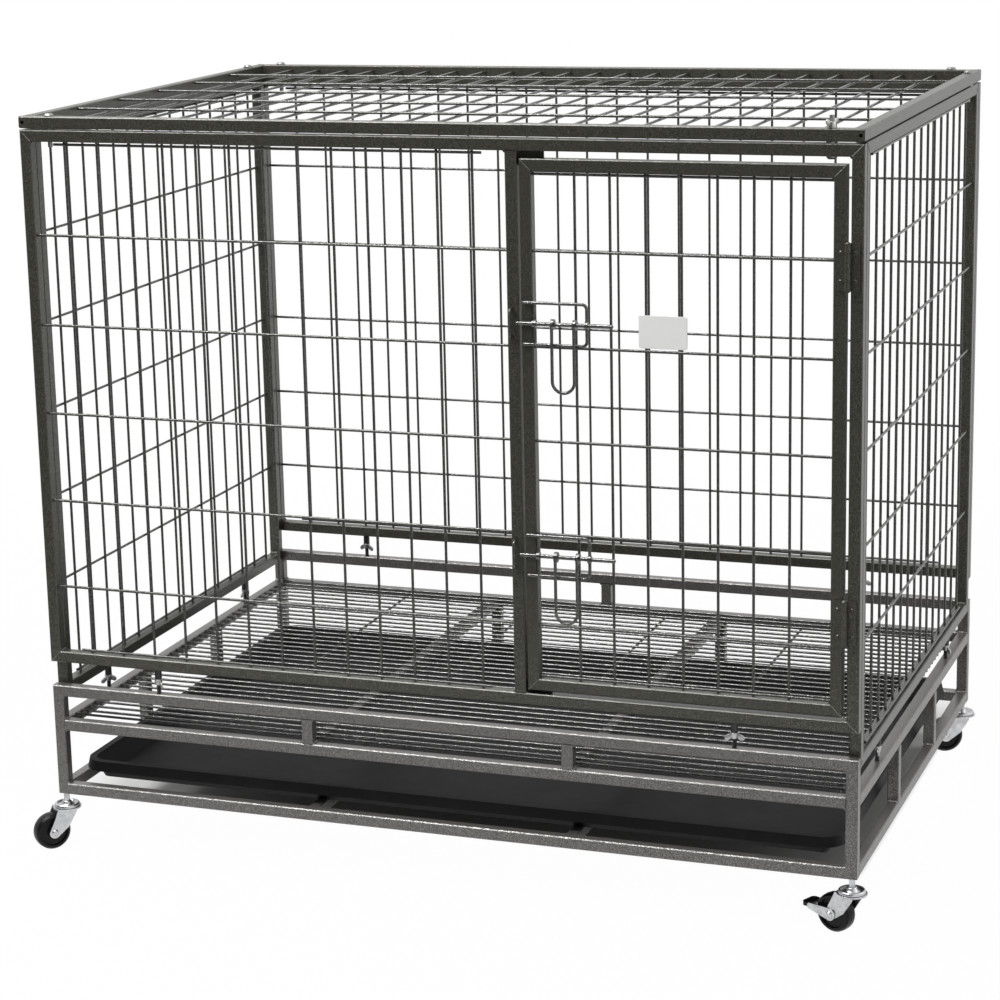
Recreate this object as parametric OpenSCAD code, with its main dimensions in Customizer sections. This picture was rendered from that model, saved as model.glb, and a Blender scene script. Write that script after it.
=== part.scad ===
// Heavy duty dog crate on casters: a welded base frame with a floor grate and a
// pull-out tray, four wall panels of square tube and wire mesh, a bolted lid and
// a front door with two slide bolts. Millimetres, +Z up, front towards -Y.
// The origin is on the floor under the middle of the frame.

/* [Crate] */
// Outer width of the frame
crate_w = 1092; // [950:1:1200]
// Outer depth of the frame
crate_d = 745; // [640:1:820]
// Height of the front and back wall panels
panel_h = 708; // [640:1:780]
// Height of the base frame at the front and back
base_h = 153; // [145:1:175]
// Underside of the middle base rails above the bottom of the base
mid_rail_z = 90; // [80:1:100]
// Gap between a base rail and the wall panel above it
wall_gap = 33; // [28:1:40]
// Seam between the wall panels and the lid
lid_gap = 2; // [1:0.5:3]

/* [Tube] */
// Outside of the square tube
tube = 15; // [14:0.5:18]
// Wall of the square tube
tube_wall = 1.2; // [1:0.1:1.6]
// Chamfer along the edges of the square tube
tube_edge = 1.2; // [0.6:0.1:1.6]

/* [Mesh] */
// Diameter of the mesh wire
wire_d = 3.5; // [3:0.1:4.5]
// Spacing of the upright wires of the front and back walls
column_pitch = 46; // [38:1:55]
// Spacing of the upright wires of the side walls and the door
side_column_pitch = 44; // [38:1:55]
// Spacing of the level wires, counted down from the top of a panel
row_pitch = 117; // [100:1:120]
// Level wires between the top and bottom edges of a panel
row_count = 5; // [3:1:5]
// Spacing of the cross wires of the lid
lid_cross_pitch = 44; // [38:1:55]
// Spacing of the long wires of the lid
lid_pitch = 119; // [90:1:150]
// Spacing of the floor wires
grate_pitch = 19.5; // [16:0.5:26]
// Wires under the floor wires, between the two at the ends
grate_ties = 4; // [4:2:6]

/* [Door] */
// Width of the door
door_w = 398; // [360:1:430]
// Gap at the free side of the door
door_gap = 3; // [2:0.5:4]
// Gap at the hinged side of the door
door_gap_hinge = 5.5; // [4:0.5:6.5]
// Gap under the door
door_gap_low = 5; // [3:0.5:7]
// Gap over the door
door_gap_high = 9; // [6:0.5:12]
// Middle of each hinge from the end of the door
hinge_inset = 118; // [60:1:150]
// Height of a hinge
hinge_h = 56; // [45:1:65]
// Diameter of the hinge pins
hinge_pin_d = 4; // [3:0.5:4.5]
// Thickness of the hinge leaves
leaf_t = 1.5; // [1:0.1:2]

/* [Latches] */
// Upper slide bolt above the bottom of the door
latch_high = 465; // [400:1:520]
// Lower slide bolt above the bottom of the door
latch_low = 175; // [120:1:230]
// Diameter of the slide bolts
bolt_d = 5; // [4:0.5:6]
// Length of the slide bolts
bolt_l = 123; // [112:1:135]
// Diameter of the bracket, handle and keeper wire
latch_wire_d = 4; // [3:0.5:5]
// Width of a latch bracket
bracket_w = 66; // [60:1:76]
// Height of a latch bracket
bracket_h = 51; // [46:1:60]
// Distance between the legs of a handle
handle_w = 28; // [24:1:32]
// Length of a handle below its bolt
handle_l = 83; // [70:1:95]
// Height of a keeper on the door post
keeper_h = 38; // [30:1:46]

/* [Tray] */
// Gap at each side of the tray
tray_side_gap = 8; // [4:1:40]
// Front of the tray behind the front of the base
tray_setback = 20; // [18:1:40]
// Gap behind the tray
tray_back_gap = 25; // [4:1:60]
// Height of the tray
tray_h = 27; // [24:1:40]
// Height of the tray's turned-down lip
tray_lip_h = 13; // [8:1:16]
// Thickness of the tray
tray_t = 2.5; // [2:0.1:3]

/* [Casters] */
// Height of the casters, from the floor to the base
caster_h = 75; // [72:1:80]
// Diameter of the wheels
wheel_d = 50; // [46:1:52]
// Width of the wheels
wheel_w = 18; // [14:1:22]
// Distance the wheel trails behind its stem
trail = 24; // [20:1:28]
// Diameter of the stems
stem_d = 8; // [7:0.5:10]
// Diameter of the axles
axle_d = 6; // [5:0.5:8]
// Way the front left wheel trails, turned from +X
front_left_turn = 230; // [180:5:270]
// Way the front right wheel trails, turned from +X
front_right_turn = 155; // [90:5:270]
// Way the back right wheel trails, turned from +X
back_right_turn = 200; // [90:5:270]
// Way the back left wheel trails, turned from +X
back_left_turn = 165; // [90:5:270]

/* [Fasteners] */
// Diameter of the wall studs and lid bolts
stud_d = 6; // [5:0.5:7]
// Front and back wall studs from the ends of the panel
stud_inset = 155; // [100:1:200]
// Side wall studs from the ends of the panel
side_stud_inset = 130; // [90:1:160]
// Lid bolts from the ends of the front and back tubes
lid_bolt_inset = 40; // [30:1:46]

/* [Hidden] */
// Least gap between tubes that are welded to each other
weld_gap = 0.1;
// Gap between pieces that rest against each other
seat_gap = 0.3;
// Running clearance of a pin in its hole, on the radius
run_gap = 0.08;
// Clearance of a stud in its hole, on the radius
hole_gap = 0.3;
// Gap between wires that are welded where they cross
wire_gap = 0.05;
// Distance a cutting shape reaches past the face it cuts
cut = 1;
$fn = 48;

half_w = crate_w / 2;
half_d = crate_d / 2;
base_z = caster_h;
mid_top_z = base_z + mid_rail_z + tube;
front_z = base_z + base_h + wall_gap;
wall_top_z = front_z + panel_h;
side_z = mid_top_z + wall_gap;
side_h = wall_top_z - side_z;
side_l = crate_d - 2 * tube - 2 * seat_gap;
lid_z = wall_top_z + lid_gap;
inner_w = crate_w - 2 * tube;
base_inner_d = crate_d - 2 * tube;
base_third_w = inner_w / 6;
base_third_d = base_inner_d / 6;

// The level wires sit near the outer face, the upright wires behind them
row_y = 5;
column_y = row_y + wire_d + wire_gap;
edge_wire = wire_d;
edge_margin = lid_bolt_inset - tube + stud_d;

// Door place: hinged on the right post, shut against the door post
door_x1 = half_w - tube - door_gap_hinge;
door_x0 = door_x1 - door_w;
door_post_x = door_x0 - door_gap - tube;
door_z = front_z + tube + door_gap_low;
door_h = panel_h - 2 * tube - door_gap_low - door_gap_high;
door_y = -half_d - seat_gap;

hinge_pin_r = hinge_pin_d / 2;
knuckle_r = hinge_pin_r + 1.6;
hinge_x = door_x1 + door_gap_hinge / 2;
hinge_y = door_y - knuckle_r;
leaf_w = tube - 1;
hinge_zs = [door_z + hinge_inset, door_z + door_h - hinge_inset];
knuckles = 5;

bolt_r = bolt_d / 2;
latch_r = latch_wire_d / 2;
latch_y = door_y - seat_gap - bolt_r;
bracket_y = door_y - seat_gap - latch_r;
bracket_x = door_x0 + tube + latch_r + 1;
bracket_bend = 6;
eye_r = bolt_r + latch_wire_d * 0.6;
keeper_x = door_post_x + 0.4 * tube;
// The bolt is drawn back clear of its keeper and its handle hangs right of the middle
bolt_x = keeper_x + latch_r + 4;
handle_x = bracket_x + bracket_w / 2 + 4;
handle_y = latch_y - bolt_r - run_gap - latch_r;
upper_latch_z = door_z + latch_high;
lower_latch_z = door_z + latch_low;

wheel_r = wheel_d / 2;
axle_r = axle_d / 2;
stem_r = stem_d / 2;
fork_t = 2;
fork_gap = 1.5;
fork_half = wheel_w / 2 + fork_gap;
fork_top_r = 19;
fork_foot_r = 8;
fork_top_z = wheel_d + 4;
cap_h = 8;
brake_t = 1.5;
socket_h = 24;
stem_x = half_w - tube / 2;
stem_y = half_d - tube / 2;

stud_r = stud_d / 2;
stud_hole_r = stud_r + hole_gap;
wing_nut_h = 8;

paint = [0.23, 0.225, 0.2];
zinc = [0.72, 0.73, 0.74];
black = [0.08, 0.08, 0.08];

// Shapes shared by several pieces

// Section of the square tube, with its corner on the origin
module tube_section() {
    far = tube - tube_edge;
    inner = tube - 2 * tube_wall;
    difference() {
        polygon([
            [tube_edge, 0], [far, 0], [tube, tube_edge], [tube, far],
            [far, tube], [tube_edge, tube], [0, far], [0, tube_edge]
        ]);
        translate([tube_wall, tube_wall]) square(inner);
    }
}

// Tube with square ends along X, drawn back at both ends by the weld gap
module bar(length) {
    translate([weld_gap, 0, 0]) rotate([90, 0, 90])
        linear_extrude(length - 2 * weld_gap) tube_section();
}

// Tube with square ends standing along Z
module upright(length) {
    translate([0, 0, weld_gap]) linear_extrude(length - 2 * weld_gap) tube_section();
}

// Tube along X whose ends are mitred, longest along its lower face
module mitred_bar(length) {
    intersection() {
        bar(length);
        translate([0, tube + cut, 0]) rotate([90, 0, 0]) linear_extrude(tube + 2 * cut)
            polygon([
                [weld_gap, 0], [length - weld_gap, 0],
                [length - tube - weld_gap, tube], [tube + weld_gap, tube]
            ]);
    }
}

// Upright rectangle of four mitred tubes, from the origin towards +X and +Z
module tube_ring(w, h) {
    mitred_bar(w);
    translate([0, 0, h]) mirror([0, 0, 1]) mitred_bar(w);
    mirror([1, 0, 0]) rotate([0, -90, 0]) mitred_bar(h);
    translate([w, 0, 0]) rotate([0, -90, 0]) mitred_bar(h);
}

// Puts a shape drawn as a front panel on the right or left side of the crate
module on_right() {
    translate([half_w, 0, 0]) rotate([0, 0, 90]) children();
}

module on_left() {
    mirror([1, 0, 0]) on_right() children();
}

// Straight wire between two points
module wire(from, to, d) {
    run = to - from;
    length = norm(run);
    translate(from)
        rotate([0, acos(run.z / length), atan2(run.y, run.x)])
            cylinder(d = d, h = length);
}

// Bend of a wire in the XZ plane, from one angle through a turn, round the origin
module wire_bend(bend_r, d, from, turn) {
    rotate([90, 0, 0]) rotate([0, 0, from])
        rotate_extrude(angle = turn) translate([bend_r, 0]) circle(d = d);
}

// Two circles joined by straight sides, which start just inside the circles and so cut them
module taper(a, a_r, b, b_r) {
    run = b - a;
    toward = atan2(run.y, run.x);
    lean = acos((a_r - b_r) / norm(run));
    inside = 0.98;
    left = inside * [cos(toward + lean), sin(toward + lean)];
    right = inside * [cos(toward - lean), sin(toward - lean)];
    translate(a) circle(a_r);
    translate(b) circle(b_r);
    polygon([a + a_r * left, a + a_r * right, b + b_r * right, b + b_r * left]);
}

// Places at an even pitch in the middle of a span, leaving out both ends
function steps(span, pitch) =
    let (count = round(span / pitch))
    [for (k = [1 : count - 1]) span / 2 + (k - count / 2) * pitch];

// Wire mesh that fills an upright window from the origin towards +X and +Z. Its level
// wires line up on all walls; the edge wires keep a margin at both ends for the bolts.
module mesh(w, window_bottom, window_top, margin, pitch) {
    h = window_top - window_bottom;
    for (z = [edge_wire, h - edge_wire])
        wire([margin, row_y, z], [w - margin, row_y, z], wire_d);
    for (k = [1 : row_count]) {
        z = wall_top_z - tube - edge_wire - k * row_pitch - window_bottom;
        wire([0, row_y, z], [w, row_y, z], wire_d);
    }
    for (x = steps(w, pitch))
        wire([x, column_y, 0], [x, column_y, h], wire_d);
}

// Places of the studs that hold the front and back walls, and the side walls
front_stud_xs = [-half_w + stud_inset, half_w - stud_inset];
side_stud_ys = [-side_l / 2 + side_stud_inset, side_l / 2 - side_stud_inset];
stud_places = concat(
    [for (x = front_stud_xs) for (side = [-1, 1]) [x, side * (half_d - tube / 2), front_z]],
    [for (y = side_stud_ys) for (side = [-1, 1]) [side * (half_w - tube / 2), y, side_z]]
);

// Places of the lid bolts; the last one is the front right, which has a wing nut on top
lid_bolt_x = half_w - lid_bolt_inset;
lid_side_y = side_l / 2 - lid_bolt_inset;
lid_front_y = half_d - tube / 2;
lid_side_x = half_w - tube / 2;
lid_bolt_places = [
    [-lid_bolt_x, -lid_front_y], [-lid_bolt_x, lid_front_y], [lid_bolt_x, lid_front_y],
    [-lid_side_x, lid_side_y], [lid_side_x, lid_side_y], [lid_bolt_x, -lid_front_y]
];
wing_place = lid_bolt_places[len(lid_bolt_places) - 1];

// Holes through the tube walls for every wall stud
module stud_holes() {
    for (place = stud_places)
        translate(place - [0, 0, wall_gap + tube / 2]) cylinder(r = stud_hole_r, h = wall_gap + tube);
}

// Holes through the lid and the panel tops for every lid bolt
module lid_bolt_holes() {
    for (place = lid_bolt_places)
        translate([place.x, place.y, wall_top_z - tube - cut])
            cylinder(r = stud_hole_r, h = 2 * tube + lid_gap + 2 * cut);
}

// Holes in the base corners for the caster stems
module stem_holes() {
    for (x = [-stem_x, stem_x], y = [-stem_y, stem_y])
        translate([x, y, base_z - cut]) cylinder(r = stem_r + hole_gap, h = tube / 2);
}

// Base

// Front or back of the base: a mitred ring with a middle rail and short uprights over it
module base_frame(upright_xs) {
    rail_gap = base_h - mid_rail_z - 2 * tube;
    translate([-half_w, 0, base_z]) {
        tube_ring(crate_w, base_h);
        translate([tube, 0, mid_rail_z]) bar(inner_w);
    }
    for (x = upright_xs)
        translate([x - tube / 2, 0, mid_top_z]) upright(rail_gap);
}

module base_front_frame() {
    color(paint) difference() {
        translate([0, -half_d, 0]) base_frame([-base_third_w, base_third_w]);
        stud_holes();
        stem_holes();
    }
}

// The back has one upright over its middle rail and two under it, behind the tray
module base_back_frame() {
    color(paint) difference() {
        translate([0, half_d - tube, 0]) {
            base_frame([0]);
            for (side = [-1, 1])
                translate([side * base_third_w - tube / 2, 0, base_z + tube]) upright(mid_rail_z - tube);
        }
        stud_holes();
        stem_holes();
    }
}

// One side of the base: a bottom rail, a middle rail and two uprights between them
module side_rails() {
    for (z = [base_z, base_z + mid_rail_z])
        translate([-base_inner_d / 2, 0, z]) bar(base_inner_d);
    for (side = [-1, 1])
        translate([side * base_third_d - tube / 2, 0, base_z + tube]) upright(mid_rail_z - tube);
}

module base_left_rails() {
    color(paint) difference() {
        on_left() side_rails();
        stud_holes();
    }
}

module base_right_rails() {
    color(paint) difference() {
        on_right() side_rails();
        stud_holes();
    }
}

// Bars from front to back under the tray and under the floor grate
module base_cross_bars() {
    color(paint)
        for (side = [-1, 1], z = [base_z, base_z + mid_rail_z])
            translate([side * base_third_w + tube / 2, -base_inner_d / 2, z])
                rotate([0, 0, 90]) bar(base_inner_d);
}

// Floor of closely spaced wires that lie on the cross bars and are tied by wires under them
grate_margin = 4;
grate_stub = 9;
module floor_grate() {
    floor_z = mid_top_z + wire_d / 2;
    tie_z = floor_z - wire_d - wire_gap;
    grate_x = inner_w / 2 - grate_margin;
    grate_y = base_inner_d / 2 - grate_margin;
    reach = 2 * (grate_x - grate_stub);
    floor_d = base_inner_d - grate_pitch;
    color(paint) {
        for (k = [0 : grate_ties + 1]) {
            x = k * reach / (grate_ties + 1) - reach / 2;
            wire([x, -grate_y, tie_z], [x, grate_y, tie_z], wire_d);
        }
        for (k = concat([0], steps(floor_d, grate_pitch), [floor_d])) {
            y = k - floor_d / 2;
            wire([-grate_x, y, floor_z], [grate_x, y, floor_z], wire_d);
        }
    }
}

// Place and size of the tray over its lip
tray_w = inner_w - 2 * tray_side_gap;
tray_d = crate_d - tube - tray_setback - tray_back_gap;
tray_y = tray_setback + tray_d / 2 - half_d;
tray_floor_z = base_z + tube + seat_gap;
tray_corner = 32;

// Block with the tray's rounded outline and sloping sides, drawn in by an inset at each end;
// its sides stand upright for a short stretch at the bottom and over the given one at the top
tray_land = 0.4;
module tray_block(low_inset, low_z, high_inset, high_z, land = tray_land) {
    straight = [tray_w, tray_d] - 2 * tray_corner * [1, 1];
    hull() {
        translate([0, 0, low_z]) linear_extrude(tray_land)
            offset(tray_corner - low_inset) square(straight, center = true);
        translate([0, 0, high_z - land]) linear_extrude(land)
            offset(tray_corner - high_inset) square(straight, center = true);
    }
}

// Plastic tray with sloping sides, a narrow rim and a lip turned down round it
module tray() {
    lip_flare = 3;
    rim_w = 7;
    slope = 12;
    lip_z = tray_h - tray_lip_h;
    under_rim = tray_h - tray_t;
    wall = lip_flare + rim_w;
    foot = wall + slope;
    color(black) translate([0, tray_y, tray_floor_z]) difference() {
        union() {
            difference() {
                tray_block(0, lip_z, lip_flare, tray_h);
                tray_block(tray_t - lip_flare, lip_z - tray_lip_h, tray_t + lip_flare, under_rim);
            }
            tray_block(foot, 0, wall, tray_h, tray_t + cut);
        }
        tray_block(foot + tray_t, tray_t, wall + tray_t, tray_h + cut, 2 * cut);
    }
}

// Walls

// Front wall with the door post that divides the mesh from the doorway
module front_frame() {
    color(paint) difference() {
        union() {
            translate([-half_w, -half_d, front_z]) tube_ring(crate_w, panel_h);
            translate([door_post_x, -half_d, front_z + tube]) upright(panel_h - 2 * tube);
        }
        stud_holes();
        lid_bolt_holes();
    }
}

module front_mesh() {
    color(paint) translate([-half_w + tube, -half_d, front_z + tube])
        mesh(door_post_x + half_w - tube, front_z + tube, wall_top_z - tube, edge_margin, column_pitch);
}

module back_frame() {
    color(paint) difference() {
        translate([-half_w, half_d - tube, front_z]) tube_ring(crate_w, panel_h);
        stud_holes();
        lid_bolt_holes();
    }
}

module back_mesh() {
    color(paint) translate([half_w - tube, half_d, front_z + tube]) rotate([0, 0, 180])
        mesh(inner_w, front_z + tube, wall_top_z - tube, edge_margin, column_pitch);
}

// Side walls stand between the front and back walls and reach lower than they do
module side_frame() {
    translate([-side_l / 2, 0, side_z]) tube_ring(side_l, side_h);
}

module side_mesh() {
    translate([-side_l / 2 + tube, 0, side_z + tube])
        mesh(side_l - 2 * tube, side_z + tube, wall_top_z - tube, edge_margin, side_column_pitch);
}

module left_frame() {
    color(paint) difference() {
        on_left() side_frame();
        stud_holes();
        lid_bolt_holes();
    }
}

module left_mesh() {
    color(paint) on_left() side_mesh();
}

module right_frame() {
    color(paint) difference() {
        on_right() side_frame();
        stud_holes();
        lid_bolt_holes();
    }
}

module right_mesh() {
    color(paint) on_right() side_mesh();
}

// Lid with a vent hole near both ends of its front tube
module lid_frame() {
    vent_r = 2.2;
    vent_x = half_w - tube / 3;
    color(paint) difference() {
        translate([-half_w, half_d, lid_z]) rotate([90, 0, 0]) tube_ring(crate_w, crate_d);
        lid_bolt_holes();
        for (x = [-vent_x, vent_x])
            translate([x, -half_d - cut, lid_z + tube / 2]) rotate([-90, 0, 0])
                cylinder(r = vent_r, h = tube_wall + 2 * cut);
    }
}

// Cross wires of the lid with the long wires welded over them
module lid_mesh() {
    cross_z = lid_z + tube / 2;
    long_z = cross_z + wire_d + wire_gap;
    lid_x = inner_w / 2;
    lid_y = base_inner_d / 2;
    color(paint) {
        for (k = steps(inner_w, lid_cross_pitch))
            wire([k - lid_x, -lid_y, cross_z], [k - lid_x, lid_y, cross_z], wire_d);
        for (k = steps(base_inner_d, lid_pitch))
            wire([-lid_x, k - lid_y, long_z], [lid_x, k - lid_y, long_z], wire_d);
    }
}

// Door

module door_frame() {
    color(paint) translate([door_x0, door_y, door_z]) tube_ring(door_w, door_h);
}

module door_mesh() {
    color(paint) translate([door_x0 + tube, door_y, door_z + tube])
        mesh(door_w - 2 * tube, door_z + tube, door_z + door_h - tube, 0, side_column_pitch);
}

// Plates behind the free corners of the door, welded to the back of the front wall
module door_stops() {
    stop_t = 2;
    stop_w = 30;
    lap = 10;
    low_z = front_z + tube - lap;
    high_z = door_z + door_h - lap;
    color(paint) translate([door_post_x + tube - lap, -half_d + tube, 0]) {
        translate([0, 0, low_z]) cube([stop_w + lap, stop_t, door_gap_low + 2 * lap]);
        translate([0, 0, high_z]) cube([stop_w + lap, stop_t, door_gap_high + 2 * lap]);
    }
}

// Height of one knuckle of a hinge
knuckle_h = hinge_h / knuckles;

// Half of every hinge: its leaf lies towards +X of the pin and has every second knuckle
module hinge_leaf(first, back_y) {
    rivet_r = 2.4;
    rivet_h = 0.9;
    rivet_x = 0.62 * leaf_w;
    front_y = back_y - leaf_t;
    for (z = hinge_zs)
        translate([hinge_x, hinge_y, z - hinge_h / 2]) difference() {
            union() {
                translate([0, front_y, 0]) cube([leaf_w, leaf_t, hinge_h]);
                for (k = [first : 2 : knuckles - 1])
                    translate([0, 0, k * knuckle_h + seat_gap / 2])
                        cylinder(r = knuckle_r, h = knuckle_h - seat_gap);
                for (share = [0.2, 0.8])
                    translate([rivet_x, front_y, share * hinge_h]) rotate([90, 0, 0])
                        cylinder(r1 = rivet_r, r2 = 0.6 * rivet_r, h = rivet_h);
            }
            translate([0, 0, -cut]) cylinder(r = hinge_pin_r + run_gap, h = hinge_h + 2 * cut);
            for (k = [1 - first : 2 : knuckles - 1])
                translate([0, 0, k * knuckle_h - seat_gap / 2])
                    cylinder(r = knuckle_r + seat_gap, h = knuckle_h + seat_gap);
        }
}

module post_hinge_leaves() {
    color(paint) hinge_leaf(0, knuckle_r + seat_gap);
}

module door_hinge_leaves() {
    color(paint) translate([2 * hinge_x, 0, 0]) mirror([1, 0, 0]) hinge_leaf(1, knuckle_r);
}

// Pins that stand in the post leaves, with a head at each end
module hinge_pins() {
    head_h = 1.5;
    color(paint) for (z = hinge_zs)
        translate([hinge_x, hinge_y, z - hinge_h / 2]) {
            cylinder(r = hinge_pin_r, h = hinge_h);
            translate([0, 0, hinge_h]) cylinder(r1 = knuckle_r, r2 = hinge_pin_r, h = head_h);
            translate([0, 0, -head_h]) cylinder(r1 = hinge_pin_r, r2 = knuckle_r, h = head_h);
        }
}

// Latches

// Ring on the bracket that guides the bolt, with its axis along X
module guide_eye() {
    rotate([0, 90, 0]) cylinder(r = eye_r, h = latch_wire_d, center = true);
}

// Bent wire bracket on the door's free stile, drawn round its bolt's axis
module bracket(z) {
    x0 = bracket_x;
    x1 = bracket_x + bracket_w;
    tail_x = door_x0 + 3;
    half_h = bracket_h / 2;
    bend = bracket_bend;
    lift = latch_y - bracket_y;
    color(paint) translate([0, bracket_y, z]) difference() {
        union() {
            for (side = [-1, 1])
                wire([tail_x, 0, side * half_h], [x1 - bend, 0, side * half_h], latch_wire_d);
            wire([x0, 0, -half_h], [x0, 0, half_h], latch_wire_d);
            wire([x1, 0, bend - half_h], [x1, 0, half_h - bend], latch_wire_d);
            translate([x1 - bend, 0, half_h - bend]) wire_bend(bend, latch_wire_d, 0, 90);
            translate([x1 - bend, 0, bend - half_h]) wire_bend(bend, latch_wire_d, 270, 90);
            for (x = [x0, x1])
                translate([x, lift, 0]) guide_eye();
        }
        translate([x0 - bracket_w, lift, 0]) rotate([0, 90, 0])
            cylinder(r = bolt_r + run_gap, h = 3 * bracket_w);
    }
}

// Bolt drawn back from its keeper, with rounded-off ends
module slide_bolt(z) {
    edge = 0.8;
    color(paint) translate([bolt_x, latch_y, z]) rotate([0, 90, 0]) {
        cylinder(r1 = bolt_r - edge, r2 = bolt_r, h = edge);
        translate([0, 0, edge]) cylinder(r = bolt_r, h = bolt_l - 2 * edge);
        translate([0, 0, bolt_l - edge]) cylinder(r1 = bolt_r, r2 = bolt_r - edge, h = edge);
    }
}

// Hairpin handle that hangs from two eyes round its bolt
module handle(z) {
    bend = handle_w / 2;
    low = bend - handle_l;
    hole_r = bolt_r + run_gap;
    color(paint) translate([handle_x, 0, z]) {
        for (x = [-bend, bend]) {
            translate([x, latch_y, 0]) rotate([0, 90, 0]) difference() {
                cylinder(r = hole_r + latch_wire_d, h = latch_wire_d, center = true);
                cylinder(r = hole_r, h = latch_wire_d + 2 * cut, center = true);
            }
            wire([x, handle_y, low], [x, handle_y, 0], latch_wire_d);
        }
        translate([0, handle_y, low]) wire_bend(bend, latch_wire_d, 180, 180);
    }
}

module upper_bracket() { bracket(upper_latch_z); }
module upper_bolt() { slide_bolt(upper_latch_z); }
module upper_handle() { handle(upper_latch_z); }
module lower_bracket() { bracket(lower_latch_z); }
module lower_bolt() { slide_bolt(lower_latch_z); }
module lower_handle() { handle(lower_latch_z); }

// Staples on the door post that the bolts slide behind
module bolt_keepers() {
    bend = 5;
    bolt_room = 1;
    bar_y = latch_y - bolt_r - bolt_room - latch_r;
    half_h = keeper_h / 2 - latch_r;
    color(paint) for (z = [upper_latch_z, lower_latch_z])
        translate([keeper_x, 0, z]) {
            wire([0, bar_y, bend - half_h], [0, bar_y, half_h - bend], latch_wire_d);
            for (side = [-1, 1]) {
                wire([0, bar_y + bend, side * half_h], [0, -half_d, side * half_h], latch_wire_d);
                translate([0, bar_y + bend, side * (half_h - bend)])
                    rotate([0, 0, 90]) wire_bend(bend, latch_wire_d, side > 0 ? 90 : 180, 90);
            }
        }
}

// Fasteners

// Studs that stand in the base rails and reach into the wall panels
module wall_studs() {
    color(zinc) for (place = stud_places)
        translate(place - [0, 0, wall_gap + tube / 2]) cylinder(r = stud_r, h = wall_gap + tube);
}

// Sleeves between the wall panels and the wing nuts
spacer_h = wall_gap * 0.4;
module wall_spacers() {
    color(zinc) for (place = stud_places)
        translate(place - [0, 0, spacer_h]) difference() {
            cylinder(r = stud_r + 1.6, h = spacer_h);
            translate([0, 0, -cut]) cylinder(r = stud_hole_r, h = spacer_h + 2 * cut);
        }
}

// Wing nut standing on the origin, its wings along X
module wing_nut() {
    hub_r = stud_r + 2.6;
    hub_draft = 0.8;
    wing_t = 2.2;
    root_r = 3;
    tip_r = 3.4;
    root_x = 1.5 * stud_r;
    tip_x = 4 * stud_r;
    difference() {
        union() {
            cylinder(r1 = hub_r, r2 = hub_r - hub_draft, h = wing_nut_h);
            for (side = [-1, 1])
                translate([0, wing_t / 2, 0]) rotate([90, 0, 0]) linear_extrude(wing_t)
                    taper([side * root_x, 0.45 * wing_nut_h], root_r, [side * tip_x, wing_nut_h], tip_r);
        }
        translate([0, 0, -cut]) cylinder(r = stud_r + run_gap, h = wing_nut_h + 2 * cut);
    }
}

// Wing nuts screwed up against the sleeves, each turned a little more than the last
module wall_wing_nuts() {
    color(zinc) for (k = [0 : len(stud_places) - 1])
        translate(stud_places[k] - [0, 0, spacer_h])
            mirror([0, 0, 1]) rotate([0, 0, 35 + 40 * k]) wing_nut();
}

// Round-headed lid bolts whose ends show under the panel tops
module lid_bolts() {
    head_r = 6.5;
    head_h = 3.5;
    edge = 2;
    tail = 7;
    color(zinc) for (place = lid_bolt_places) {
        upside_down = place == wing_place;
        length = 2 * tube + lid_gap + tail + (upside_down ? wing_nut_h : 0);
        translate([place.x, place.y, upside_down ? wall_top_z - tube : lid_z + tube])
            mirror([0, 0, upside_down ? 1 : 0]) {
                translate([0, 0, -length]) cylinder(r = stud_r, h = length);
                rotate_extrude() polygon([
                    [0, 0], [head_r, 0], [head_r, head_h - edge], [head_r - edge, head_h], [0, head_h]
                ]);
            }
    }
}

// Washers in the seam that carry the lid
module lid_washers() {
    washer_r = tube / 2 - 1;
    color(zinc) for (place = lid_bolt_places)
        translate([place.x, place.y, wall_top_z]) difference() {
            cylinder(r = washer_r, h = lid_gap);
            translate([0, 0, -cut]) cylinder(r = stud_hole_r, h = lid_gap + 2 * cut);
        }
}

module lid_wing_nut() {
    color(zinc) translate([wing_place.x, wing_place.y, lid_z + tube]) wing_nut();
}

// Casters

// Stems with a raceway cap, each held by a flange under the fork
module caster_stems() {
    flange_h = 1.6;
    flange_r = stem_r + 2;
    rim_r = fork_top_r - 2;
    rim_h = 2;
    stem_z = fork_top_z - seat_gap;
    stem_top = base_z + tube_wall + socket_h;
    color(zinc) for (x = [-stem_x, stem_x], y = [-stem_y, stem_y])
        translate([x, y, stem_z]) {
            cylinder(r = stem_r, h = stem_top - stem_z);
            translate([0, 0, -flange_h]) cylinder(r = flange_r, h = flange_h);
            translate([0, 0, fork_t + 2 * seat_gap]) rotate_extrude() polygon([
                [0, 0], [rim_r, 0], [rim_r, rim_h], [rim_r - 4, cap_h - rim_h],
                [stem_r + 3, cap_h], [0, cap_h]
            ]);
        }
}

// Threaded sockets inside the base corners
module stem_sockets() {
    socket_r = tube / 2 - tube_wall - 2 * weld_gap;
    socket_z = base_z + tube_wall + weld_gap;
    color(zinc) for (x = [-stem_x, stem_x], y = [-stem_y, stem_y])
        translate([x, y, socket_z]) difference() {
            cylinder(r = socket_r, h = socket_h);
            translate([0, 0, -cut]) cylinder(r = stem_r + run_gap, h = socket_h + 2 * cut);
        }
}

// Puts a caster drawn with its stem on the Z axis and its wheel towards +X in its corner
module caster_at(side_x, side_y, turn) {
    translate([side_x * stem_x, side_y * stem_y, 0]) rotate([0, 0, turn]) children();
}

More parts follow.
